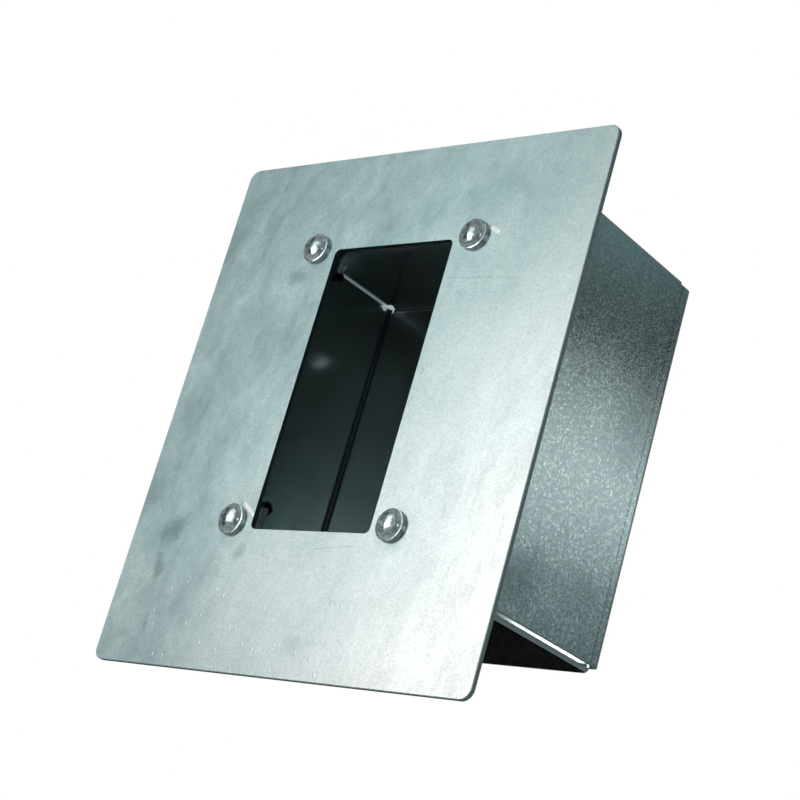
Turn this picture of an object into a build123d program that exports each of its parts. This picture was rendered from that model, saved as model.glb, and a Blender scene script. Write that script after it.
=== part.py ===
from build123d import *
from math import asin, degrees
import os

# Flush back box: a folded sheet box behind a flat face plate, held together by four screws in clip nuts.
# Frame: X to the right, Y into the wall, Z up. The origin is the middle of the plate's rear face,
# so y = 0 is the surface of the wall that the plate lies on. Sizes are in millimetres.

# Face plate
plate_width = 150.0
plate_height = 170.0
plate_thickness = 1.6
plate_corner = 3.5
plate_edge_break = 0.2

# How far the plate stands out past the box
plate_margin_side = 12.0
plate_margin_top = 17.5
plate_margin_bottom = 27.5

# Window in the plate, its ends measured from the top and bottom of the box
window_width = 48.0
window_margin_top = 15.5
window_margin_bottom = 16.5
window_corner = 2.0

# Plate screws: raised cheese head with a cross recess
screw_from_window = 8.0
screw_inset_top = 15.0
screw_inset_bottom = 19.0
screw_diameter = 5.0
screw_length = 12.0
screw_hole_clearance = 0.5
screw_tip_chamfer = 0.6
head_diameter = 10.0
head_height = 3.5
head_band = 1.5
head_band_draft = 0.15
head_shoulder = 1.4
recess_span = 6.0
recess_wing = 1.6
recess_core = 3.0
recess_depth = 2.0
recess_taper = 14.0
recess_turns = (20.0, 62.0, 38.0, 50.0)

# Folded box
sheet = 1.6
box_depth = 66.0
bend_inside = 1.9
seam_gap = 0.6
relief_past_bend = 0.8

# Return flanges of the top and bottom walls
flange_setback = 2.0
flange_margin = 6.0
flange_corner = 1.5
notch_clearance = 1.0
notch_corner = 3.0
flange_hole = 7.0

# Clip nuts on the return flanges
clip_sheet = 0.7
clip_width = 12.0
clip_tail = 7.0
clip_tail_corner = 1.5
clip_arch = 5.0
clip_arch_run = 2.2
clip_curl_drop = 2.0
clip_curl_out = 1.1
clip_hole = 6.0
barrel_height = 2.4
barrel_wall = 1.1
barrel_taper = 6.0
thread_clearance = 0.1

# Back panel: fixing holes and cable entry
fixing_pitch_across = 70.0
fixing_pitch_up = 80.0
fixing_hole = 5.0
cable_entry = 20.5

# Earth point, placed from the box's right side and bottom
earth_inset_side = 23.0
earth_inset_bottom = 42.5
earth_diameter = 4.0
earth_length = 12.0
earth_tip_chamfer = 0.4
earth_head_diameter = 7.0
earth_head_thickness = 0.8
earth_washer_diameter = 9.0
earth_washer_thickness = 0.8
earth_nut_across_flats = 7.0
earth_nut_thickness = 3.2
earth_clearance = 0.1

# Levels and limits worked out from the sizes above
bend_outside = bend_inside + sheet
box_width = plate_width - 2 * plate_margin_side
box_height = plate_height - plate_margin_top - plate_margin_bottom
box_rise = (plate_margin_bottom - plate_margin_top) / 2
box_top = box_rise + box_height / 2
box_bottom = box_rise - box_height / 2
box_side = box_width / 2
window_height = box_height - window_margin_top - window_margin_bottom
window_rise = box_rise + (window_margin_bottom - window_margin_top) / 2
panel_inner = box_depth - sheet
side_wall_top = box_top - sheet - seam_gap
side_wall_bottom = box_bottom + sheet + seam_gap
wall_end = box_side - sheet - seam_gap
relief_side = box_side - bend_outside - relief_past_bend
relief_front = box_depth - bend_outside - relief_past_bend
flange_front = flange_setback + clip_sheet
flange_back = flange_front + sheet
clip_back = flange_back + clip_sheet
screw_top = box_top - screw_inset_top
screw_bottom = box_bottom + screw_inset_bottom
screw_rise = (screw_top + screw_bottom) / 2
screw_pitch_up = screw_top - screw_bottom
screw_pitch_across = window_width + 2 * screw_from_window
flange_top_end = screw_top - flange_margin
flange_bottom_end = screw_bottom + flange_margin
earth_across = box_side - earth_inset_side
earth_height = box_bottom + earth_inset_bottom
past = 1.0

# Corner of the screw pattern: side of the middle, and above or below it
corners = {
    "top_left": (-1, 1),
    "top_right": (1, 1),
    "bottom_left": (-1, -1),
    "bottom_right": (1, -1),
}

# The wall's surface seen from the room, and the back panel's outer face seen from behind
face_plane = Plane(origin=(0, 0, 0), x_dir=(1, 0, 0), z_dir=(0, -1, 0))
rear_plane = Plane(origin=(0, box_depth, 0), x_dir=(-1, 0, 0), z_dir=(0, 1, 0))

os.makedirs("parts", exist_ok=True)


def save(piece, name):
    piece.part.label = name
    export_step(piece.part, "parts/" + name + ".step")


# Face plate: one flat sheet with a window and four screw holes
with BuildPart() as front_plate:
    with BuildSketch(face_plane):
        RectangleRounded(plate_width, plate_height, plate_corner)
        with Locations((0, window_rise)):
            RectangleRounded(window_width, window_height, window_corner, mode=Mode.SUBTRACT)
        with Locations((0, screw_rise)):
            with GridLocations(screw_pitch_across, screw_pitch_up, 2, 2):
                Circle((screw_diameter + screw_hole_clearance) / 2, mode=Mode.SUBTRACT)
    extrude(amount=plate_thickness)
    front_face = front_plate.faces().sort_by(Axis.Y)[0]
    chamfer(front_face.outer_wire().edges(), plate_edge_break)
save(front_plate, "front_plate")

# Folded box: the top and bottom walls with their return flanges and the back panel are one bent strip,
# and the side walls are bent up from the two ends of the back panel
with BuildPart() as back_box:
    with BuildSketch(Plane.YZ.offset(-wall_end)) as flanged_strip:
        with Locations(((flange_front + box_depth) / 2, box_rise)):
            Rectangle(box_depth - flange_front, box_height)
        fillet(flanged_strip.vertices(), bend_outside)
        with BuildSketch(mode=Mode.PRIVATE) as flanged_hollow:
            with Locations(((flange_back + panel_inner) / 2, box_rise)):
                Rectangle(panel_inner - flange_back, box_height - 2 * sheet)
            fillet(flanged_hollow.vertices(), bend_inside)
        add(flanged_hollow.sketch, mode=Mode.SUBTRACT)
        with Locations((flange_front, (flange_top_end + flange_bottom_end) / 2)):
            Rectangle(4 * sheet, flange_top_end - flange_bottom_end, mode=Mode.SUBTRACT)
    extrude(amount=2 * wall_end)

    # Corner reliefs: the strip stops short where its back bends run out
    with BuildSketch(rear_plane.offset(past)):
        with Locations((0, box_rise)):
            Rectangle(2 * (wall_end + past), box_height + 2 * past)
            Rectangle(2 * relief_side, box_height + 4 * past, mode=Mode.SUBTRACT)
    extrude(amount=relief_front - box_depth - past, mode=Mode.SUBTRACT)

    with BuildSketch(Plane.XY.offset(side_wall_bottom)) as side_strips:
        with Locations((0, box_depth / 2)):
            Rectangle(box_width, box_depth)
        fillet(side_strips.vertices().group_by(Axis.Y)[-1], bend_outside)
        with BuildSketch(mode=Mode.PRIVATE) as side_hollow:
            with Locations((0, panel_inner / 2)):
                Rectangle(box_width - 2 * sheet, panel_inner)
            fillet(side_hollow.vertices().group_by(Axis.Y)[-1], bend_inside)
        add(side_hollow.sketch, mode=Mode.SUBTRACT)
        with Locations((0, box_depth)):
            Rectangle(2 * relief_side, 4 * sheet, mode=Mode.SUBTRACT)
    extrude(amount=side_wall_top - side_wall_bottom)

    # Flange ends: corners rounded, a notch that clears the window, and the screw holes
    flange_tips = back_box.edges().filter_by(Axis.Y).filter_by_position(
        Axis.Z, flange_bottom_end, flange_top_end
    )
    fillet(flange_tips.filter_by_position(Axis.Y, flange_front, flange_back), flange_corner)
    with BuildSketch(face_plane.offset(-flange_back - past)):
        with Locations((0, window_rise)):
            RectangleRounded(
                window_width + 2 * notch_clearance,
                window_height + 2 * notch_clearance,
                notch_corner,
            )
        with Locations((0, screw_rise)):
            with GridLocations(screw_pitch_across, screw_pitch_up, 2, 2):
                Circle(flange_hole / 2)
    extrude(amount=flange_back + 2 * past, mode=Mode.SUBTRACT)

    # Back panel: fixing holes and cable entry
    with BuildSketch(rear_plane.offset(past)):
        with Locations((0, box_rise)):
            Circle(cable_entry / 2)
            with GridLocations(fixing_pitch_across, fixing_pitch_up, 2, 2):
                Circle(fixing_hole / 2)
    extrude(amount=-(sheet + 2 * past), mode=Mode.SUBTRACT)

    # Seat of the earth stud, its head flush with the outside
    with Locations(Plane(origin=(earth_across, box_depth, earth_height), z_dir=(0, 1, 0))):
        CounterBoreHole(
            radius=(earth_diameter + earth_clearance) / 2,
            counter_bore_radius=(earth_head_diameter + earth_clearance) / 2,
            counter_bore_depth=earth_head_thickness,
            depth=sheet,
        )
save(back_box, "back_box")


# Clip nut: spring sheet folded over the end of a return flange, arched at the fold, with a threaded
# barrel behind it. It stands at a screw of the pattern, and level is 1 on the top flange and -1 below.
def clip_nut(across, up, level):
    fold = up - level * flange_margin
    seat = fold + level * clip_arch_run
    tail = up + level * clip_tail
    curl = tail + level * clip_curl_drop
    arch_back = flange_setback + clip_arch
    arch_middle = flange_setback + clip_arch / 2
    arch_top = fold - level * clip_arch / 2
    clip_reach = abs(curl - arch_top)
    with BuildPart() as clip:
        with BuildSketch(Plane.YZ.offset(across - clip_width / 2)):
            with BuildLine():
                Line((flange_setback, tail), (flange_setback, fold))
                ThreePointArc((flange_setback, fold), (arch_middle, arch_top), (arch_back, fold))
                Polyline(
                    (arch_back, fold),
                    (clip_back, seat),
                    (clip_back, tail),
                    (clip_back + clip_curl_out, curl),
                    (flange_back + clip_curl_out, curl),
                    (flange_back, tail),
                    (flange_back, seat),
                    (arch_back - clip_sheet, fold),
                )
                ThreePointArc(
                    (arch_back - clip_sheet, fold),
                    (arch_middle, arch_top + level * clip_sheet),
                    (flange_front, fold),
                )
                Polyline((flange_front, fold), (flange_front, tail), (flange_setback, tail))
            make_face()
        extrude(amount=clip_width)
        fillet(clip.edges().filter_by(Axis.Y).group_by(Axis.Y)[0], clip_tail_corner)
        with BuildSketch(face_plane.offset(past)):
            with Locations((across, curl - level * clip_reach)):
                RectangleRounded(clip_width, 2 * clip_reach, clip_tail_corner)
        extrude(amount=-(arch_back + 2 * past), mode=Mode.INTERSECT)
        barrel_plane = Plane(origin=(across, flange_back, up), x_dir=(1, 0, 0), z_dir=(0, 1, 0))
        with BuildSketch(barrel_plane):
            Circle((screw_diameter + thread_clearance) / 2 + barrel_wall)
        extrude(amount=clip_sheet + barrel_height, taper=barrel_taper)
        with BuildSketch(barrel_plane):
            Circle((screw_diameter + thread_clearance) / 2)
        extrude(amount=clip_sheet + barrel_height + past, mode=Mode.SUBTRACT)
        with BuildSketch(Plane(origin=(across, 0, up), x_dir=(1, 0, 0), z_dir=(0, 1, 0))):
            Circle(clip_hole / 2)
        extrude(amount=flange_front, mode=Mode.SUBTRACT)
    return clip


# Plate screw: its axis runs along Y and its head bears on the plate's front face
def plate_screw(across, up, turn):
    head_radius = head_diameter / 2
    rim_radius = head_radius - head_band_draft - head_shoulder
    dome_rise = head_height - head_band - head_shoulder
    dome_radius = (rim_radius**2 + dome_rise**2) / (2 * dome_rise)
    seat = Plane(origin=(across, -plate_thickness, up), x_dir=(1, 0, 0), z_dir=(0, 0, 1))
    top = Plane(
        origin=(across, -plate_thickness - head_height, up), x_dir=(1, 0, 0), z_dir=(0, 1, 0)
    )
    with BuildPart() as screw:
        with BuildSketch(seat):
            with BuildLine():
                dome = JernArc(
                    start=(0, -head_height),
                    tangent=(1, 0),
                    radius=dome_radius,
                    arc_size=degrees(asin(rim_radius / dome_radius)),
                )
                shoulder = RadiusArc(
                    dome @ 1, (head_radius - head_band_draft, -head_band), head_shoulder * 1.1
                )
                Polyline(
                    shoulder @ 1,
                    (head_radius, 0),
                    (screw_diameter / 2, 0),
                    (screw_diameter / 2, screw_length - screw_tip_chamfer),
                    (screw_diameter / 2 - screw_tip_chamfer, screw_length),
                    (0, screw_length),
                    (0, -head_height),
                )
            make_face()
        revolve(axis=Axis((across, 0, up), (0, 1, 0)))
        with BuildSketch(top.rotated((0, 0, turn))):
            Rectangle(recess_span, recess_wing)
            Rectangle(recess_wing, recess_span)
            Circle(recess_core / 2)
        extrude(amount=recess_depth, taper=recess_taper, mode=Mode.SUBTRACT)
    return screw


for (corner, (side, level)), turn in zip(corners.items(), recess_turns):
    across = side * screw_pitch_across / 2
    up = screw_rise + level * screw_pitch_up / 2
    save(clip_nut(across, up, level), "clip_nut_" + corner)
    save(plate_screw(across, up, turn), "plate_screw_" + corner)

# Earth point on the back panel: stud, washer and nut
earth_seat = Plane(
    origin=(earth_across, box_depth, earth_height), x_dir=(1, 0, 0), z_dir=(0, -1, 0)
)
with BuildPart() as earth_stud:
    with BuildSketch(earth_seat):
        Circle(earth_head_diameter / 2)
    extrude(amount=earth_head_thickness)
    with BuildSketch(earth_seat):
        Circle(earth_diameter / 2)
    extrude(amount=earth_length)
    chamfer(earth_stud.edges().group_by(Axis.Y)[0], earth_tip_chamfer)
save(earth_stud, "earth_stud")

with BuildPart() as earth_washer:
    with BuildSketch(earth_seat.offset(sheet)):
        Circle(earth_washer_diameter / 2)
        Circle(earth_diameter / 2 + earth_clearance, mode=Mode.SUBTRACT)
    extrude(amount=earth_washer_thickness)
save(earth_washer, "earth_washer")

with BuildPart() as earth_nut:
    with BuildSketch(earth_seat.offset(sheet + earth_washer_thickness)):
        RegularPolygon(earth_nut_across_flats / 2, 6, major_radius=False)
        Circle((earth_diameter + earth_clearance) / 2, mode=Mode.SUBTRACT)
    extrude(amount=earth_nut_thickness)
save(earth_nut, "earth_nut")
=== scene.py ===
import math

import bpy
from mathutils import Matrix, Vector


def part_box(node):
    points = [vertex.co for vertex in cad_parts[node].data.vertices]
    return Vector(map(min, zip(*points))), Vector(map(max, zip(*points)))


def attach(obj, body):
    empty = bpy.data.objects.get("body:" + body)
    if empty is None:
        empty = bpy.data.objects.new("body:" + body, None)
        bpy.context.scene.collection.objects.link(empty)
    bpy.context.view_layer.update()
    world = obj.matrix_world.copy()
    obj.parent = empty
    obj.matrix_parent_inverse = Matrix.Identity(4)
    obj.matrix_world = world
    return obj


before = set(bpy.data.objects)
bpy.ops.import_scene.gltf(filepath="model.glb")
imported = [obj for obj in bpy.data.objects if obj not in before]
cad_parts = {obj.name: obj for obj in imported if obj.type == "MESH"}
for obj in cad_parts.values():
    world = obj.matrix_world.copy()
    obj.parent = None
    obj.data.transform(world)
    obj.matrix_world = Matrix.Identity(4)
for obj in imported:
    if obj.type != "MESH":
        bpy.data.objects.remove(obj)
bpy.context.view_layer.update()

bl_info = {
    "name": "Flush back box",
    "version": (1, 0, 0),
    "blender": (4, 5, 0),
    "location": "View3D > Sidebar > Back box",
    "description": "Finishes, threads and studio for a flush back box with a face plate",
    "category": "Object",
}

MM = 0.001
CORNERS = ("top_left", "top_right", "bottom_left", "bottom_right")

# Sizes of the model in millimetres, used to place its marks
RIM_ACROSS = 70.0
RIM_UP = 80.0
BOX_MIDDLE = 5.0
BOX_SIDE = 63.0
WALL_END = 60.8
WALL_TOP = 65.3
WALL_BOTTOM = -55.3
INNER_SIDE = 61.5
INNER_HALF_HEIGHT = 61.0
INNER_DEPTH = 64.5
BEND_LINE = 3.0
CREASE = 60.1

# Threads in millimetres: what they wind round, and where their ridges start and stop
SCREW_THREAD_RADIUS = 2.48
SCREW_THREAD_START = 5.6
SCREW_TIP = 0.8
EARTH_STAND = (40.0, -15.0)
EARTH_THREAD_RADIUS = 1.98
EARTH_TIP = 0.6
EARTH_NUT_GAP = 0.2

BLACK = (0.0, 0.0, 0.0, 1.0)
WHITE = (1.0, 1.0, 1.0, 1.0)


# Shader tools


class Wire:
    """A value socket that Python arithmetic works on, adding Math nodes as it goes."""

    def __init__(self, sheet, socket):
        self.sheet = sheet
        self.socket = socket

    def __add__(self, other):
        return self.sheet.maths("ADD", self, other)

    def __radd__(self, other):
        return self.sheet.maths("ADD", other, self)

    def __sub__(self, other):
        return self.sheet.maths("SUBTRACT", self, other)

    def __rsub__(self, other):
        return self.sheet.maths("SUBTRACT", other, self)

    def __mul__(self, other):
        return self.sheet.maths("MULTIPLY", self, other)

    def __rmul__(self, other):
        return self.sheet.maths("MULTIPLY", other, self)

    def __truediv__(self, other):
        return self.sheet.maths("DIVIDE", self, other)

    def __abs__(self):
        return self.sheet.maths("ABSOLUTE", self)


class Sheet:
    """The node tree of one material or of the world."""

    def __init__(self, owner):
        owner.use_nodes = True
        self.tree = owner.node_tree
        self.tree.nodes.clear()

    def node(self, kind, settings=None, **inputs):
        """Adds a node: its settings first, then the values or links of its inputs."""
        made = self.tree.nodes.new("ShaderNode" + kind)
        for key, value in (settings or {}).items():
            setattr(made, key, value)
        for key, value in inputs.items():
            self.feed(made.inputs[key.replace("_", " ")], value)
        return made

    def feed(self, socket, value):
        """Links a socket, or sets a value."""
        if isinstance(value, Wire):
            value = value.socket
        if isinstance(value, bpy.types.NodeSocket):
            self.tree.links.new(value, socket)
        else:
            socket.default_value = value

    def out(self, made, name=0):
        """An output of a node, ready for arithmetic."""
        return Wire(self, made.outputs[name])

    def maths(self, operation, *values):
        """One Math node."""
        made = self.node("Math", {"operation": operation})
        for socket, value in zip(made.inputs, values):
            self.feed(socket, value)
        return self.out(made)

    def ramp(self, value, low, high, to_low=0.0, to_high=1.0, smooth=True):
        """Maps value from low..high to to_low..to_high, held at the ends."""
        kind = "SMOOTHSTEP" if smooth else "LINEAR"
        made = self.node("MapRange", {"interpolation_type": kind, "clamp": True})
        for name, number in (
            ("Value", value),
            ("From Min", low),
            ("From Max", high),
            ("To Min", to_low),
            ("To Max", to_high),
        ):
            self.feed(made.inputs[name], number)
        return self.out(made, "Result")

    def blend(self, factor, first, second):
        """Mixes two colours."""
        made = self.node("Mix", {"data_type": "RGBA", "blend_type": "MIX", "clamp_factor": True})
        self.feed(made.inputs["Factor"], factor)
        self.feed(made.inputs[6], first)
        self.feed(made.inputs[7], second)
        return made.outputs[2]

    def place(self, centre=(0, 0, 0), turn=(0, 0, 0), scale=(1, 1, 1)):
        """Object coordinates in millimetres, moved, turned and stretched."""
        spot = self.node("TexCoord").outputs["Object"]
        scaled = self.node("VectorMath", {"operation": "SCALE"}, Vector=spot, Scale=1 / MM)
        moved = self.node(
            "Mapping",
            {"vector_type": "TEXTURE"},
            Vector=scaled.outputs[0],
            Location=centre,
            Rotation=turn,
            Scale=scale,
        )
        return moved.outputs[0]

    def split(self, vector):
        """The x, y and z of a vector."""
        made = self.node("SeparateXYZ", Vector=vector)
        return [self.out(made, k) for k in range(3)]

    def noise(self, vector, size, detail=3.0, rough=0.5, distortion=0.0):
        """Noise from 0 to 1 whose blotches are about size wide, in the vector's units."""
        made = self.node(
            "TexNoise",
            {"noise_dimensions": "3D", "normalize": True},
            Vector=vector,
            Scale=1 / size,
            Detail=detail,
            Roughness=rough,
            Distortion=distortion,
        )
        return self.out(made, "Fac")

    def cells(self, vector, size):
        """Random cells about size wide, in the vector's units."""
        return self.node(
            "TexVoronoi", {"feature": "F1"}, Vector=vector, Scale=1 / size, Randomness=1.0
        )

    def pick(self, cells, channel):
        """A random value from 0 to 1 that is the same all over each cell."""
        return self.out(self.node("SeparateColor", Color=cells.outputs["Color"]), channel)

    def towards(self, way, direction):
        """How far a direction agrees with another one, 1 where they are the same."""
        made = self.node("VectorMath", {"operation": "DOT_PRODUCT"})
        self.feed(made.inputs[0], way)
        self.feed(made.inputs[1], direction)
        return self.out(made, "Value")

    def finish(self, colour, roughness, metallic=1.0, height=None, relief=0.00002, strength=1.0):
        """Ends the tree in one Principled shader, with a bump where a height is given."""
        shader = self.node("BsdfPrincipled", Base_Color=colour, Roughness=roughness, Metallic=metallic)
        if height is not None:
            bump = self.node("Bump", Height=height, Distance=relief, Strength=strength)
            self.feed(shader.inputs["Normal"], bump.outputs[0])
        end = self.node("OutputMaterial")
        self.feed(end.inputs["Surface"], shader.outputs[0])


def colour(triple):
    """A setting's colour with its alpha."""
    return (*triple, 1.0)


def new_material(name):
    """A material and its empty node tree."""
    material = bpy.data.materials.new(name)
    return material, Sheet(material)


def dress(nodes, material):
    """Gives CAD nodes one material."""
    for name in nodes:
        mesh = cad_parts[name].data
        mesh.materials.clear()
        mesh.materials.append(material)


# Marks on sheet metal


def stroke(sheet, across, up, start, end, width):
    """A thin straight mark from start to end, 1 on the line and 0 off it."""
    run = Vector(end) - Vector(start)
    length = run.length
    run.normalize()
    along = (across - start[0]) * run.x + (up - start[1]) * run.y
    off = (up - start[1]) * run.x - (across - start[0]) * run.y
    ends = sheet.ramp(abs(along - length / 2), length / 2 - 1.0, length / 2, 1.0, 0.0)
    return sheet.ramp(abs(off), width * 0.3, width, 1.0, 0.0) * ends


def blot(sheet, across, up, centre, size, frayed, lean=0.0):
    """A soft patch about size across, 1 in its middle, with its edge frayed by a noise."""
    x = across - centre[0]
    z = up - centre[1]
    c, s = math.cos(lean), math.sin(lean)
    a = (x * c + z * s) / size[0]
    b = (z * c - x * s) / size[1]
    reach = sheet.maths("SQRT", a * a + b * b) + (frayed - 0.5) * 1.6
    return sheet.ramp(reach, 0.1, 1.1, 1.0, 0.0)


def strongest(sheet, masks):
    """The largest of some masks."""
    total = masks[0]
    for mask in masks[1:]:
        total = sheet.maths("MAXIMUM", total, mask)
    return total


# Marks on the plate, in millimetres from its middle
PLATE_RUBS_AND_SCREW_SHADE = (
    # centre x, z; half size; lean; strength
    ((-38.0, 43.5), (7.0, 3.5), 0.1, 0.55),
    ((-56.0, 76.0), (1.2, 5.0), -0.2, 0.35),
    ((-57.0, -42.0), (7.0, 6.0), 0.5, 0.6),
    ((-58.5, -54.0), (3.0, 6.0), 0.2, 0.6),
    ((-56.5, -72.5), (1.5, 4.5), 0.0, 0.5),
    ((-25.5, -48.5), (2.6, 5.0), -0.5, 0.4),
    ((8.0, -75.0), (8.0, 4.0), 0.2, 0.3),
    ((30.0, -20.0), (4.0, 12.0), -0.2, 0.18),
    ((-45.0, -5.0), (8.0, 22.0), -0.3, 0.2),
    ((-20.0, 66.0), (20.0, 7.0), 0.1, 0.15),
    ((40.0, 72.0), (12.0, 6.0), -0.2, 0.15),
    # Painted shade round the four screws, partly grime: a darker halo just below right of each
    ((33.8, -40.4), (7.6, 7.6), 0.0, 0.55),
    ((-30.4, -40.2), (7.0, 7.0), 0.0, 0.35),
    ((-30.2, 50.8), (7.0, 7.0), 0.0, 0.35),
    ((33.4, 51.0), (6.6, 6.6), 0.0, 0.25),
)
PLATE_STROKES = (
    # start x, z; end x, z; width; strength
    ((24.5, 39.2), (44.0, 38.3), 0.35, 0.3),
    ((44.0, 38.3), (54.0, 37.0), 0.45, 0.25),
    ((4.5, -46.3), (19.5, -44.9), 0.3, 0.35),
    ((-52.0, -8.0), (-45.0, 30.0), 0.3, 0.12),
    ((28.0, 60.0), (31.0, 77.0), 0.3, 0.15),
    ((46.0, 5.0), (50.0, 20.0), 0.25, 0.15),
)
# Burrs beside three screws: raised by a bump, with a painted highlight in their colour
PLATE_BURR_HIGHLIGHTS = (
    # start x, z; end x, z; width
    ((-29.9, 54.7), (-27.0, 53.9), 1.3),
    ((36.8, 55.6), (41.0, 53.0), 1.1),
    ((-30.6, -32.4), (-24.0, -37.0), 1.0),
)
PIT_CLUSTER = ((25.4, 11.0), (3.6, 4.6))


def plate_steel(look):
    """Mill-finish zinc on the plate: cloudy tone, rolling streaks, rubs, scratches and a few pits, with
    painted shading across it, painted shade round the screws and painted highlights on its nicks and burrs.
    """
    material, s = new_material("plate_mill_finish")
    spot = s.place()
    across, _, up = s.split(spot)
    clouds = s.noise(spot, 38.0, 3.0, 0.5, 0.3)
    patches = s.noise(s.place(turn=(0, 0.3, 0), scale=(1.0, 1.0, 1.8)), 9.0, 4.0, 0.6, 0.6)
    mottle = s.noise(spot, 2.6, 4.0, 0.65)
    grain = s.noise(spot, 0.7, 2.0, 0.6)
    rolled = s.noise(s.place(scale=(1.0, 1.0, 30.0)), 1.3, 2.0, 0.55)
    frayed = s.noise(spot, 4.0, 5.0, 0.65)

    rubs_and_shade = strongest(
        s, [blot(s, across, up, c, size, frayed, lean) * power for c, size, lean, power in PLATE_RUBS_AND_SCREW_SHADE]
    )
    lines = strongest(
        s, [stroke(s, across, up, a, b, width) * power for a, b, width, power in PLATE_STROKES]
    )
    lines = lines * s.ramp(mottle, 0.4, 0.6)
    burr_highlights = strongest(s, [stroke(s, across, up, a, b, width) for a, b, width in PLATE_BURR_HIGHLIGHTS])

    # Pits: a cluster beside the window and lone ones over the whole plate
    dots = s.cells(spot, 1.15)
    dot_size = s.pick(dots, 0)
    dot = s.ramp(s.out(dots, "Distance"), 0.16, 0.3, 1.0, 0.0)
    near = blot(s, across, up, *PIT_CLUSTER, frayed)
    lone = s.cells(spot, 9.0)
    lone_dot = s.ramp(s.out(lone, "Distance"), 0.02, 0.05, 1.0, 0.0)
    lone_dot = lone_dot * s.ramp(s.pick(lone, 1), 0.7, 0.75)
    pits = s.maths("MAXIMUM", dot * near * s.ramp(dot_size, 0.45, 0.6), lone_dot * 0.35)

    # Nicks low on the left of the plate: raised by a bump, with a painted highlight in their colour
    nicks = s.cells(s.place(turn=(0, 0.2, 0), scale=(0.6, 1.0, 1.5)), 2.7)
    nick_highlight = s.ramp(s.out(nicks, "Distance"), 0.08, 0.2, 1.0, 0.0)
    nick_highlight = nick_highlight * s.ramp(s.pick(nicks, 2), 0.6, 0.7)
    nick_highlight = nick_highlight * s.ramp(up, -48.0, -64.0) * s.ramp(abs(across + 14.0), 30.0, 48.0, 1.0, 0.0)

    # Cut edges of the sheet: darker than its rolled faces, and duller round the outside
    _, facing, _ = s.split(s.node("NewGeometry").outputs["True Normal"])
    cut = s.ramp(abs(facing), 0.5, 0.9, 1.0, 0.0)
    outer_side = s.ramp(abs(across), RIM_ACROSS, RIM_ACROSS + 1.0)
    outer_end = s.ramp(abs(up), RIM_UP, RIM_UP + 1.0)
    rim = cut * s.maths("MAXIMUM", outer_side, outer_end)

    # Painted shading across the plate: cooler and darker at the upper left, lighter towards the lower right
    thin = s.ramp(across * 0.84 - up * 0.54 + (clouds - 0.5) * 60.0, -20.0, 84.0, smooth=False)
    tone = s.ramp(clouds, 0.36, 0.64) * 0.34 + s.ramp(patches, 0.34, 0.66, smooth=False) * 0.34
    tone = tone + s.ramp(mottle, 0.3, 0.7, smooth=False) * 0.26 + rolled * 0.06
    face = s.blend(thin, colour(look.plate_shading_cool), colour(look.plate_light))
    darkening = s.blend(thin, colour(look.plate_dark), colour(look.plate_light))
    face = s.blend(tone, s.blend(0.75, face, darkening), face)
    face = s.blend(grain - 0.4, face, colour(look.plate_rub_and_shade))
    # Rubs, and painted shade round the screws, partly grime
    face = s.blend(rubs_and_shade, face, colour(look.plate_rub_and_shade))
    face = s.blend(s.maths("MAXIMUM", lines, pits), face, colour(look.plate_pit))
    # Painted highlight on the nicks and burrs
    face = s.blend(s.maths("MAXIMUM", nick_highlight, burr_highlights), face, colour(look.plate_burr_highlight))
    face = s.blend(cut, face, s.blend(rim, colour(look.plate_pit), colour(look.plate_edge)))
    rough = look.plate_roughness + (patches - 0.5) * 0.16 + (rolled - 0.5) * 0.06 - rubs_and_shade * 0.05
    height = grain * 0.5 + rolled * 0.5 + mottle * 1.1 + patches * 2.0
    height = height - pits * 2.0 - lines * 0.8 + nick_highlight * 5.0 + burr_highlights * 4.0
    s.finish(face, rough, 1.0 - rim * 0.75, height=height, relief=0.00003, strength=0.35)
    return material


# Painted shade patches on the side walls
BOX_SHADE_PATCHES = (
    # depth and height of the centre; half size; lean; strength
    ((58.0, 20.0), (22.0, 30.0), 0.0, 0.5),
    ((18.0, -44.0), (22.0, 11.0), 0.35, 0.6),
    ((48.0, -38.0), (30.0, 8.0), 0.1, 0.3),
)


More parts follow.
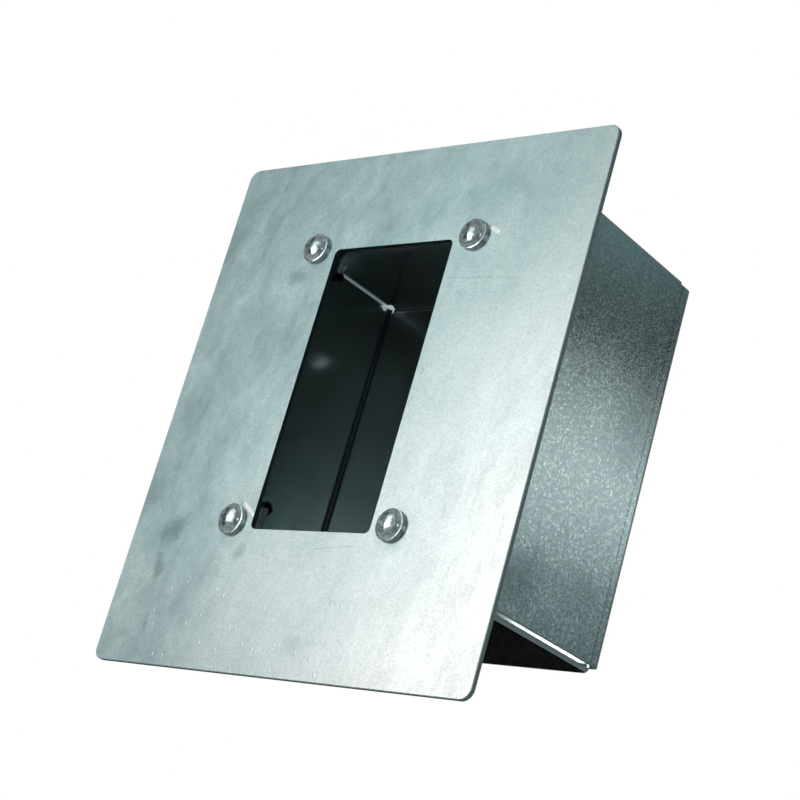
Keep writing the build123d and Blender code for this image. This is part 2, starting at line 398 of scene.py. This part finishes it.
def box_zinc(look):
    """Galvanised zinc on the box: grain with painted glints, streaks, painted shade patches, painted shade
    beside the plate and in the inner bends, and a worn crease by each back bend.
    """
    material, s = new_material("box_galvanised")
    spot = s.place()
    across, deep, up = s.split(spot)
    side = abs(across)
    spangle = s.cells(s.place(scale=(1.0, 1.0, 1.2)), 0.5)
    flake = s.pick(spangle, 0)
    crumb = s.noise(spot, 0.4, 3.0, 0.7)
    clouds = s.noise(spot, 18.0, 3.0, 0.55, 0.4)
    streaks = s.noise(s.place(scale=(1.0, 1.0, 40.0)), 0.8, 2.0, 0.5)

    # The inside keeps smoother sheet
    inside = s.ramp(side, INNER_SIDE, INNER_SIDE + 0.1, 1.0, 0.0)
    inside = inside * s.ramp(deep, INNER_DEPTH, INNER_DEPTH + 0.1, 1.0, 0.0)
    half_height = abs(up - BOX_MIDDLE)
    outside = 1.0 - inside * s.ramp(half_height, INNER_HALF_HEIGHT, INNER_HALF_HEIGHT + 0.1, 1.0, 0.0)

    # Painted shade: darker patches on the side walls
    frayed = s.ramp(s.noise(spot, 9.0, 4.0, 0.6), 0.0, 1.0, 0.35, 0.65, smooth=False)
    shade_patches = strongest(
        s, [blot(s, deep, up, c, size, frayed, lean) * power for c, size, lean, power in BOX_SHADE_PATCHES]
    )
    shade_patches = shade_patches * s.ramp(side, 62.0, 62.5)

    # Tool mark beside each side bend
    crease = s.ramp(abs(deep - CREASE), 0.15, 0.6, 1.0, 0.0)
    crease = crease * s.ramp(side, BOX_SIDE - 0.1, BOX_SIDE - 0.05)
    dotted = s.noise(s.place(scale=(1.0, 1.0, 1.3)), 0.9, 1.0, 0.5)
    crease = crease * s.ramp(dotted, 0.36, 0.56)

    # Cut ends of the top and bottom walls and of the side walls
    cut = s.ramp(abs(side - WALL_END), 0.03, 0.05, 1.0, 0.0)
    for level in (WALL_TOP, WALL_BOTTOM):
        cut = s.maths("MAXIMUM", cut, s.ramp(abs(up - level), 0.03, 0.05, 1.0, 0.0))

    # Painted shade in the inner bends of the side walls
    fold_shade = s.ramp(abs(deep - side - BEND_LINE), 1.1, 1.9, 1.0, 0.0)
    fold_shade = fold_shade * s.ramp(deep + side, 121.0, 123.0) * (1.0 - outside)

    # The spangle is smoother towards the top; painted shade darkens the sheet beside the plate, above and
    # below its middle
    coarse = outside * s.ramp(up, 46.0, 16.0, 0.45, 1.0)
    # Painted glints: some of the spangle's flakes get a near-white colour
    glint = s.ramp(s.pick(spangle, 1), 0.80, 0.92) * coarse
    darkening = s.maths("MAXIMUM", s.ramp(up, 28.0, 40.0), s.ramp(up, -18.0, -32.0))
    darkening = s.ramp(deep, 1.0, 20.0, 0.65, 0.0) * darkening
    tone = (flake * 0.58 + crumb * 0.42) * coarse + 0.5 * (1.0 - coarse)
    tone = tone * 0.66 + clouds * 0.20 + streaks * 0.14
    tone = s.ramp(tone, 0.3, 0.7, smooth=False) * outside + (1.0 - outside) * clouds
    face = s.blend(tone, colour(look.zinc_dark), colour(look.zinc_light))
    face = s.blend(glint * 0.8, face, colour(look.zinc_glint))
    # Painted shade over the patches and beside the plate
    face = s.blend(s.maths("MAXIMUM", darkening, shade_patches) * outside, face, colour(look.zinc_shade))
    face = s.blend(crease * 0.5, face, colour(look.zinc_crease))
    face = s.blend(fold_shade, face, colour(look.zinc_fold_shade))
    face = s.blend(cut * 0.9, face, colour(look.cut_edge))
    rough = look.zinc_roughness + (flake - 0.5) * 0.08 * coarse + (clouds - 0.5) * 0.04
    rough = rough + cut * 0.25 + fold_shade * 0.3
    height = (flake * 0.6 + crumb * 1.2 + streaks * 0.3) * coarse

    # The back panel and the left wall are made less metallic, so that they look lighter under the dim room
    # light
    film = s.maths("MAXIMUM", s.ramp(deep, 65.0, 65.9), s.ramp(across, -61.8, -62.8)) * outside
    bare = 1.0 - cut * 0.75 - (1.0 - outside) * 0.07 - film * 0.25
    s.finish(face, rough, bare, height=height, relief=0.00006, strength=0.42)
    return material


def screw_zinc(look):
    """Bright zinc plating on the screws, with rubbed spots."""
    material, s = new_material("screw_bright_zinc")
    spot = s.place()
    smear = s.noise(spot, 1.6, 4.0, 0.6, 0.6)
    grain = s.noise(spot, 0.25, 2.0, 0.6)
    tone = s.ramp(smear, 0.3, 0.7)
    face = s.blend(tone, colour(look.screw_dark), colour(look.screw_light))
    rough = look.screw_roughness + (smear - 0.5) * 0.14
    s.finish(face, rough, look.screw_metal, height=grain + smear, relief=0.00004, strength=0.4)
    return material


def spring_steel(look):
    """Near-black finish on the clip nuts' spring steel."""
    material, s = new_material("clip_spring_steel")
    spot = s.place()
    smear = s.noise(spot, 3.0, 4.0, 0.6, 0.4)
    grain = s.noise(spot, 0.4, 2.0, 0.6)
    face = s.blend(s.ramp(smear, 0.3, 0.7), colour(look.clip_dark), colour(look.clip_light))
    s.finish(face, 0.34 + (smear - 0.5) * 0.12, height=grain, relief=0.00002, strength=0.3)
    return material


def earth_brass(look):
    """Plain brass on the earth stud, washer and nut."""
    material, s = new_material("earth_brass")
    spot = s.place()
    smear = s.noise(spot, 2.0, 4.0, 0.6, 0.4)
    face = s.blend(s.ramp(smear, 0.3, 0.7), colour(look.brass_dark), colour(look.brass_light))
    s.finish(face, 0.28 + (smear - 0.5) * 0.16, height=smear, relief=0.00002, strength=0.3)
    return material


# Threads by Geometry Nodes


def thread_tree():
    """A ridge that winds up the Z axis: a spiral swept with a small square section."""
    tree = bpy.data.node_groups.new("thread_ridge", "GeometryNodeTree")
    new_socket = tree.interface.new_socket
    new_socket("Geometry", in_out="OUTPUT", socket_type="NodeSocketGeometry")
    named = {}
    for name, default in (("Radius", 0.0025), ("Pitch", 0.0008), ("Turns", 6.0), ("Ridge", 0.0002)):
        socket = new_socket(name, in_out="INPUT", socket_type="NodeSocketFloat")
        socket.default_value = default
        named[name] = socket.identifier
    socket = new_socket("Material", in_out="INPUT", socket_type="NodeSocketMaterial")
    named["Material"] = socket.identifier
    add = tree.nodes.new
    link = tree.links.new
    sizes = add("NodeGroupInput")
    spiral = add("GeometryNodeCurveSpiral")
    spiral.inputs["Resolution"].default_value = 28
    rise = add("ShaderNodeMath")
    rise.operation = "MULTIPLY"
    link(sizes.outputs["Pitch"], rise.inputs[0])
    link(sizes.outputs["Turns"], rise.inputs[1])
    link(sizes.outputs["Turns"], spiral.inputs["Rotations"])
    link(sizes.outputs["Radius"], spiral.inputs["Start Radius"])
    link(sizes.outputs["Radius"], spiral.inputs["End Radius"])
    link(rise.outputs[0], spiral.inputs["Height"])
    section = add("GeometryNodeCurvePrimitiveCircle")
    section.mode = "RADIUS"
    section.inputs["Resolution"].default_value = 4
    link(sizes.outputs["Ridge"], section.inputs["Radius"])
    sweep = add("GeometryNodeCurveToMesh")
    sweep.inputs["Fill Caps"].default_value = True
    link(spiral.outputs[0], sweep.inputs["Curve"])
    link(section.outputs[0], sweep.inputs["Profile Curve"])
    real = add("GeometryNodeRealizeInstances")
    link(sweep.outputs[0], real.inputs[0])
    paint = add("GeometryNodeSetMaterial")
    link(real.outputs[0], paint.inputs["Geometry"])
    link(sizes.outputs["Material"], paint.inputs["Material"])
    end = add("NodeGroupOutput")
    link(paint.outputs[0], end.inputs[0])
    return tree, named


def thread_mesh(tree, named, radius, pitch, turns, ridge, material):
    """Runs the tree once and returns its result as a plain mesh, winding up +Z from the origin."""
    holder = bpy.data.objects.new("thread_holder", bpy.data.meshes.new("thread_holder"))
    bpy.context.scene.collection.objects.link(holder)
    modifier = holder.modifiers.new("thread", "NODES")
    modifier.node_group = tree
    for name, value in (
        ("Radius", radius * MM),
        ("Pitch", pitch * MM),
        ("Turns", turns),
        ("Ridge", ridge * MM),
        ("Material", material),
    ):
        modifier[named[name]] = value
    depsgraph = bpy.context.evaluated_depsgraph_get()
    mesh = bpy.data.meshes.new_from_object(holder.evaluated_get(depsgraph))
    bpy.data.objects.remove(holder, do_unlink=True)
    return mesh


def add_threads(name, spots, start, radius, pitch, turns, ridge, material, into_wall):
    """Joins one thread at each spot (x, z), from the depth start, into one piece that winds along Y."""
    tree, named = thread_tree()
    single = thread_mesh(tree, named, radius, pitch, turns, ridge, material)
    bpy.data.node_groups.remove(tree)
    whole = bpy.data.meshes.new(name)
    points, faces = [], []
    way = 1 if into_wall else -1
    for across, up in spots:
        first = len(points)
        for vertex in single.vertices:
            x, y, z = vertex.co
            points.append((across * MM + x, start * MM + way * z, up * MM - way * y))
        faces += [[first + k for k in face.vertices] for face in single.polygons]
    whole.from_pydata(points, [], faces)
    whole.materials.append(material)
    whole.validate()
    whole.update()
    bpy.data.meshes.remove(single)
    piece = bpy.data.objects.new(name, whole)
    bpy.context.scene.collection.objects.link(piece)
    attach(piece, "root")
    return piece


# Settings


def tint(name, description, default):
    return bpy.props.FloatVectorProperty(
        name=name, description=description, default=default, subtype="COLOR", size=3, min=0.0, max=1.0
    )


def amount(name, description, default, low=0.0, high=1.0, **more):
    return bpy.props.FloatProperty(
        name=name, description=description, default=default, min=low, max=high, **more
    )


class BackBoxFinish(bpy.types.PropertyGroup):
    """Colours and gloss of the metals."""

    plate_dark: tint("Plate dark", "Darker tone of the plate's mill finish", (0.29, 0.43, 0.45))
    # The cool colour and the light colour are the two ends of the painted shading across the plate
    plate_shading_cool: tint("Plate film", "Cool film on the plate's mill finish", (0.79, 0.955, 0.945))
    plate_light: tint("Plate light", "Lighter tone of the plate's mill finish", (0.85, 0.86, 0.845))
    # Rubs and grain, and the painted shade round the screws
    plate_rub_and_shade: tint("Plate rubs", "Rubbed and stained patches", (0.26, 0.38, 0.40))
    plate_pit: tint("Plate pits", "Pits and scratches", (0.14, 0.19, 0.20))
    # Painted highlight colour of the nicks and burrs
    plate_burr_highlight: tint("Plate burrs", "Bright nicks and burrs", (0.96, 0.98, 0.97))
    plate_edge: tint("Plate edge", "Outer cut edge of the plate", (0.08, 0.125, 0.13))
    plate_roughness: amount("Plate roughness", "Mean roughness of the plate", 0.42)
    cut_edge: tint("Cut edges", "Sheared edges of the sheet", (0.11, 0.15, 0.16))
    zinc_dark: tint("Zinc dark", "Darker spangle of the box", (0.46, 0.55, 0.55))
    zinc_light: tint("Zinc light", "Lighter spangle of the box", (0.66, 0.75, 0.75))
    # Painted glint colour of some flakes
    zinc_glint: tint("Zinc glint", "Bright flakes of the box's zinc", (0.86, 0.97, 0.97))
    # Colour of the painted shade on the box's side walls
    zinc_shade: tint("Zinc stain", "Stained and shaded patches of the box", (0.20, 0.26, 0.27))
    # Painted shade colour of the inner bends
    zinc_fold_shade: tint("Zinc fold", "Dull zinc in the inner bends", (0.06, 0.08, 0.10))
    zinc_crease: tint("Zinc crease", "Worn zinc along the bends", (0.12, 0.16, 0.17))
    zinc_roughness: amount("Zinc roughness", "Mean roughness of the box", 0.165)
    screw_dark: tint("Screw dark", "Rubbed plating", (0.34, 0.42, 0.43))
    screw_light: tint("Screw light", "Clean plating", (0.72, 0.81, 0.81))
    screw_roughness: amount("Screw roughness", "Mean roughness of the screws", 0.17)
    screw_metal: amount("Screw bare metal", "Share of the plating that shines through its pale film", 0.74)
    clip_dark: tint("Clip dark", "Darker tone of the clip nuts", (0.04, 0.055, 0.06))
    clip_light: tint("Clip light", "Lighter tone of the clip nuts", (0.13, 0.16, 0.17))
    brass_dark: tint("Brass dark", "Darker tone of the earth point", (0.42, 0.30, 0.12))
    brass_light: tint("Brass light", "Lighter tone of the earth point", (0.72, 0.56, 0.28))


class BackBoxThreads(bpy.types.PropertyGroup):
    """Sizes of the threads, in millimetres."""

    screw_pitch: amount("Screw pitch", "Pitch of the plate screws' thread", 0.8, 0.3, 2.0)
    earth_pitch: amount("Earth pitch", "Pitch of the earth stud's thread", 0.7, 0.3, 2.0)
    ridge: amount("Ridge", "How far a thread's ridge stands out", 0.14, 0.02, 0.5)


class BackBoxStudio(bpy.types.PropertyGroup):
    """Camera, lamps, floor and background."""

    lens: amount("Lens", "Focal length of the camera on a 36 mm sensor", 88.898, 20.0, 300.0)
    floor_drop: amount(
        "Floor drop", "How far the floor lies below the plate's middle", 0.32, 0.1, 2.0, unit="LENGTH"
    )
    floor_tone: tint("Floor tone", "Colour of the floor", (0.82, 0.84, 0.84))
    room_tone: tint("Room tone", "Dim room that the metal reflects", (0.013, 0.016, 0.019))
    round_tone: tint("Surroundings", "Pale room that the other sides reflect", (0.20, 0.23, 0.24))
    floor_light: tint("Floor light", "Soft light of the room on the floor alone", (0.85, 0.85, 0.85))


# Operators


class BACKBOX_OT_plate(bpy.types.Operator):
    """Give the face plate its mill finish"""

    bl_idname = "backbox.plate"
    bl_label = "Finish the face plate"

    def execute(self, context):
        dress(["front_plate"], plate_steel(context.scene.backbox_finish))
        return {"FINISHED"}


class BACKBOX_OT_box(bpy.types.Operator):
    """Give the folded box its galvanised finish"""

    bl_idname = "backbox.box"
    bl_label = "Finish the folded box"

    def execute(self, context):
        dress(["back_box"], box_zinc(context.scene.backbox_finish))
        return {"FINISHED"}


class BACKBOX_OT_screws(bpy.types.Operator):
    """Plate the screws and wind their threads"""

    bl_idname = "backbox.screws"
    bl_label = "Finish the plate screws"

    def execute(self, context):
        sizes = context.scene.backbox_threads
        plated = screw_zinc(context.scene.backbox_finish)
        dress(["plate_screw_" + corner for corner in CORNERS], plated)
        spots = []
        for corner in CORNERS:
            low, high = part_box("plate_screw_" + corner)
            spots.append(((low[0] + high[0]) / 2 / MM, (low[2] + high[2]) / 2 / MM))
            tip = high[1] / MM
        turns = (tip - SCREW_TIP - SCREW_THREAD_START) / sizes.screw_pitch
        add_threads(
            "screw_threads",
            spots,
            SCREW_THREAD_START,
            SCREW_THREAD_RADIUS,
            sizes.screw_pitch,
            turns,
            sizes.ridge,
            plated,
            True,
        )
        return {"FINISHED"}


class BACKBOX_OT_clips(bpy.types.Operator):
    """Give the clip nuts their spring steel"""

    bl_idname = "backbox.clips"
    bl_label = "Finish the clip nuts"

    def execute(self, context):
        dress(["clip_nut_" + corner for corner in CORNERS], spring_steel(context.scene.backbox_finish))
        return {"FINISHED"}


class BACKBOX_OT_earth(bpy.types.Operator):
    """Give the earth point its brass and wind the stud's thread"""

    bl_idname = "backbox.earth"
    bl_label = "Finish the earth point"

    def execute(self, context):
        sizes = context.scene.backbox_threads
        brass = earth_brass(context.scene.backbox_finish)
        dress(["earth_stud", "earth_washer", "earth_nut"], brass)
        stud_low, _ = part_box("earth_stud")
        nut_low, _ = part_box("earth_nut")
        tip = stud_low[1] / MM
        reach = nut_low[1] / MM - EARTH_NUT_GAP
        turns = (reach - tip - EARTH_TIP) / sizes.earth_pitch
        add_threads(
            "earth_thread",
            [EARTH_STAND],
            reach,
            EARTH_THREAD_RADIUS,
            sizes.earth_pitch,
            turns,
            sizes.ridge,
            brass,
            False,
        )
        return {"FINISHED"}


def lamp(name, place, size, level, tone):
    """A soft rectangular lamp that faces the plate's middle. level is its brightness, whatever its size."""
    light = bpy.data.lights.new(name, "AREA")
    light.shape = "RECTANGLE"
    light.size, light.size_y = size
    light.energy = level * math.pi * size[0] * size[1]
    light.color = tone
    stand = bpy.data.objects.new(name, light)
    stand.location = place
    stand.rotation_euler = (-Vector(place)).to_track_quat("-Z", "Y").to_euler()
    stand.visible_camera = False
    bpy.context.scene.collection.objects.link(stand)


# Camera fitted to the photograph, in metres: its place, and the axes of its picture
CAMERA_PLACE = (0.4005385, -0.3837572, -0.177903)
CAMERA_RIGHT = (0.7431909, 0.6141773, 0.2654309)
CAMERA_UP = (0.0138826, -0.4107802, 0.9116287)
CAMERA_BACK = (0.6689354, -0.6738293, -0.3138145)

LAMPS = (
    # name; place; width and height; level; tone
    ("key", (-0.693, -1.201, 0.19), (0.44, 0.40), 6.0, (1.0, 1.0, 1.0)),
    ("fill", (-0.640, -1.108, 0.569), (0.44, 0.40), 1.78, (0.82, 1.0, 0.98)),
    ("side", (1.021, -0.952, 0.098), (0.50, 0.30), 2.7, (0.84, 0.97, 1.0)),
    ("strip", (0.897, 0.997, 0.402), (0.90, 0.106), 1.36, (0.90, 1.0, 1.0)),
    ("low_strip", (0.919, 1.020, 0.261), (0.90, 0.070), 0.34, (0.72, 1.0, 1.03)),
    ("high_strip", (0.835, 0.927, 0.636), (0.90, 0.12), 0.24, (0.66, 1.0, 1.0)),
)

BACKDROP = (-0.705, 0.709, 0.0)
# Painted shade patches of the backdrop, seen by the camera through the open seam
SEAM_PAINTED_SHADE = (
    # direction; degrees of full and of no effect; colour
    ((-0.680117, 0.638534, 0.360161), 1.4, 1.8, (0.13, 0.17, 0.17, 1.0)),
    ((-0.671536, 0.651055, 0.353790), 0.12, 0.3, (0.36, 0.42, 0.42, 1.0)),
)


def white_background(studio):
    """White to the camera, and to the metal a bright backdrop with a dim room round it."""
    world = bpy.context.scene.world or bpy.data.worlds.new("studio")
    bpy.context.scene.world = world
    s = Sheet(world)
    way = s.node("TexCoord").outputs["Generated"]
    path = s.node("LightPath")
    x, y, z = s.split(way)
    back = s.ramp(s.towards(way, BACKDROP), 0.80, 0.95) * s.ramp(z, -0.05, 0.05)
    seen = s.maths("MAXIMUM", s.out(path, "Is Glossy Ray"), s.out(path, "Is Transmission Ray")) * back
    seen = s.maths("MAXIMUM", s.out(path, "Is Camera Ray"), seen)
    tone = s.blend(s.ramp(z, 0.0, 0.1), BLACK, colour(studio.room_tone))

    # Pale surroundings, which the sides that are turned away from the camera reflect: straight beside
    # the part, steeply above and below it, and below the horizon in front left and behind right
    slant = abs(x * y) * 2.0 / (x * x + y * y)
    around = s.maths("MAXIMUM", s.ramp(slant, 0.6, 0.3), s.ramp(abs(z), 0.56, 0.72))
    corner = s.ramp(x * y, 0.0, 0.2) * s.ramp(z, -0.05, -0.2)
    around = s.maths("MAXIMUM", around, corner)
    tone = s.blend(around, tone, colour(studio.round_tone))
    tone = s.blend(s.out(path, "Is Diffuse Ray"), tone, colour(studio.floor_light))
    tone = s.blend(seen, tone, WHITE)

    # Painted shade on the backdrop: camera rays through the open seam at the top left see a dim patch,
    # brighter where the seam meets the bend
    for direction, near, far, shade in SEAM_PAINTED_SHADE:
        edge, full = math.cos(math.radians(far)), math.cos(math.radians(near))
        spot = s.ramp(s.towards(way, direction), edge, full)
        tone = s.blend(spot * s.out(path, "Is Camera Ray"), tone, shade)
    light = s.node("Background", Color=tone, Strength=1.0)
    end = s.node("OutputWorld")
    s.feed(end.inputs["Surface"], light.outputs[0])


def pale_floor(studio):
    """A wide pale floor below the object, which hangs as on its wall."""
    reach, sides = 2.5, 64
    angles = [k * math.pi * 2 / sides for k in range(sides)]
    ring = [(reach * math.cos(a), reach * math.sin(a), -studio.floor_drop) for a in angles]
    mesh = bpy.data.meshes.new("floor")
    mesh.from_pydata(ring, [], [list(range(sides))])
    mesh.update()
    floor = bpy.data.objects.new("floor", mesh)
    bpy.context.scene.collection.objects.link(floor)
    material, s = new_material("floor_paper")
    paper = s.noise(s.place(), 3.0, 3.0, 0.6)
    face = s.blend(s.ramp(paper, 0.3, 0.7), colour(studio.floor_tone), (0.86, 0.88, 0.88, 1.0))
    s.finish(face, 0.9, metallic=0.0)
    mesh.materials.append(material)
    floor.visible_glossy = False


class BACKBOX_OT_studio(bpy.types.Operator):
    """Set up the camera, the lamps, the floor and the background"""

    bl_idname = "backbox.studio"
    bl_label = "Set up the studio"

    def execute(self, context):
        scene = context.scene
        studio = scene.backbox_studio
        scene.view_settings.view_transform = "Standard"
        white_background(studio)
        pale_floor(studio)

        optics = bpy.data.cameras.new("camera")
        optics.lens = studio.lens
        optics.sensor_width = 36.0
        optics.sensor_fit = "HORIZONTAL"
        optics.clip_start = 0.01
        optics.clip_end = 20.0
        camera = bpy.data.objects.new("camera", optics)
        turn = Matrix((CAMERA_RIGHT, CAMERA_UP, CAMERA_BACK)).transposed().to_4x4()
        camera.matrix_world = Matrix.Translation(CAMERA_PLACE) @ turn
        scene.collection.objects.link(camera)
        scene.camera = camera

        for name, place, size, level, tone in LAMPS:
            lamp(name, place, size, level, tone)
        return {"FINISHED"}


class BACKBOX_PT_panel(bpy.types.Panel):
    """Lists the steps and their settings"""

    bl_idname = "BACKBOX_PT_panel"
    bl_label = "Back box"
    bl_space_type = "VIEW_3D"
    bl_region_type = "UI"
    bl_category = "Back box"

    def draw(self, context):
        layout = self.layout
        for operator in OPERATORS:
            layout.operator(operator.bl_idname)
        for settings in (
            context.scene.backbox_finish,
            context.scene.backbox_threads,
            context.scene.backbox_studio,
        ):
            column = layout.column()
            for name in settings.__annotations__:
                column.prop(settings, name)


GROUPS = (
    ("backbox_finish", BackBoxFinish),
    ("backbox_threads", BackBoxThreads),
    ("backbox_studio", BackBoxStudio),
)
OPERATORS = (
    BACKBOX_OT_plate,
    BACKBOX_OT_box,
    BACKBOX_OT_screws,
    BACKBOX_OT_clips,
    BACKBOX_OT_earth,
    BACKBOX_OT_studio,
)


def register():
    for name, group in GROUPS:
        bpy.utils.register_class(group)
        setattr(bpy.types.Scene, name, bpy.props.PointerProperty(type=group))
    for operator in OPERATORS:
        bpy.utils.register_class(operator)
    bpy.utils.register_class(BACKBOX_PT_panel)


def unregister():
    bpy.utils.unregister_class(BACKBOX_PT_panel)
    for operator in reversed(OPERATORS):
        bpy.utils.unregister_class(operator)
    for name, group in reversed(GROUPS):
        delattr(bpy.types.Scene, name)
        bpy.utils.unregister_class(group)


def main():
    register()
    bpy.ops.backbox.plate()
    bpy.ops.backbox.box()
    bpy.ops.backbox.screws()
    bpy.ops.backbox.clips()
    bpy.ops.backbox.earth()
    bpy.ops.backbox.studio()


if __name__ == "__main__":
    main()
